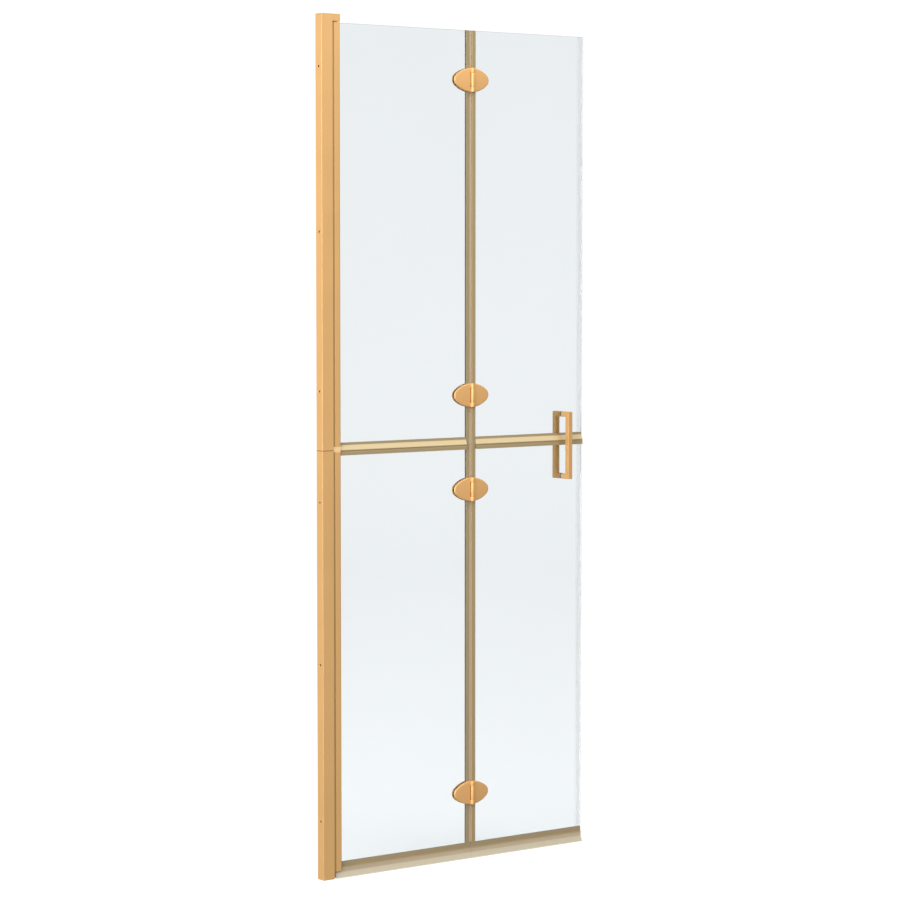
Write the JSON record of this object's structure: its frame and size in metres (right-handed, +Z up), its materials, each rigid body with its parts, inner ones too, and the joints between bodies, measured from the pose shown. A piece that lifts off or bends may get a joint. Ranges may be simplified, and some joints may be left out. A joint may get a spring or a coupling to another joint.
{
  "type": "walk-in shower screen",
  "caption": "Folding walk-in shower screen: a wall profile, a glass leaf that slides in it to fit, and a second glass leaf folding on oval hinges, with seals and a D handle",
  "frame": {"origin": "on the wall face of the wall profile, at mid breadth and at floor level", "axes": "+X out from the wall along the screen, +Y from the wet side with the drip fin to the back, +Z up"},
  "size_m": [0.74, 0.062, 1.9],
  "materials": {
    "gold_profile": "satin gold finish on aluminium",
    "gold_cap": "satin gold",
    "gold_hinge": "smooth satin gold",
    "gold_handle": "satin gold",
    "plain_aluminium": "mill finish",
    "steel": "bright zinc",
    "clear_glass": "clear safety glass",
    "clear_gasket": "clear soft gasket",
    "clear_seal": "clear soft plastic",
    "tinted_seal": "translucent khaki gold plastic",
    "soft_pad": "clear soft pad",
    "nylon": "natural nylon"
  },
  "bodies": {
    "wall_frame": {"wall_profile_lower": "gold_profile", "wall_profile_upper": "gold_profile", "profile_joiner": "plain_aluminium", "top_cap": "gold_cap", "bottom_cap": "gold_cap", "clamp_screws": "steel", "clamp_nuts": "steel"},
    "inner_leaf": {"post_lower": "gold_profile", "post_upper": "gold_profile", "post_spacer": "tinted_seal", "post_gasket_lower": "clear_gasket", "post_gasket_upper": "clear_gasket", "pane_inner_lower": "clear_glass", "pane_inner_upper": "clear_glass", "middle_strip_inner": "tinted_seal", "bottom_seal_inner": "tinted_seal", "seam_seal_inner_lower": "tinted_seal", "seam_seal_inner_upper": "tinted_seal", "hinge_pads_inner": "soft_pad", "hinge_screws_inner": "steel", "hinge_bottom_front_inner": "gold_hinge", "hinge_bottom_back_inner": "gold_hinge", "hinge_bottom_pin": "steel", "hinge_lower_middle_front_inner": "gold_hinge", "hinge_lower_middle_back_inner": "gold_hinge", "hinge_lower_middle_pin": "steel", "hinge_upper_middle_front_inner": "gold_hinge", "hinge_upper_middle_back_inner": "gold_hinge", "hinge_upper_middle_pin": "steel", "hinge_top_front_inner": "gold_hinge", "hinge_top_back_inner": "gold_hinge", "hinge_top_pin": "steel"},
    "outer_leaf": {"pane_outer_lower": "clear_glass", "pane_outer_upper": "clear_glass", "middle_strip_outer": "tinted_seal", "bottom_seal_outer": "tinted_seal", "seam_seal_outer_lower": "tinted_seal", "seam_seal_outer_upper": "tinted_seal", "edge_seal_lower": "clear_seal", "edge_seal_upper": "clear_seal", "handle_front": "gold_handle", "handle_back": "gold_handle", "handle_studs": "steel", "handle_washers": "soft_pad", "handle_bushes": "nylon", "handle_grub_screws": "steel", "hinge_pads_outer": "soft_pad", "hinge_screws_outer": "steel", "hinge_bottom_front_outer": "gold_hinge", "hinge_bottom_back_outer": "gold_hinge", "hinge_lower_middle_front_outer": "gold_hinge", "hinge_lower_middle_back_outer": "gold_hinge", "hinge_upper_middle_front_outer": "gold_hinge", "hinge_upper_middle_back_outer": "gold_hinge", "hinge_top_front_outer": "gold_hinge", "hinge_top_back_outer": "gold_hinge"}
  },
  "joints": [
    {"name": "width_adjust", "type": "slide", "parent": "wall_frame", "child": "inner_leaf", "axis": [1, 0, 0], "range_m": [-0.006, 0.005]},
    {"name": "fold", "type": "hinge", "parent": "inner_leaf", "child": "outer_leaf", "pos_m": [0.41, -0.011, 0], "axis": [0, 0, -1], "range_deg": [0, 175]}
  ]
}
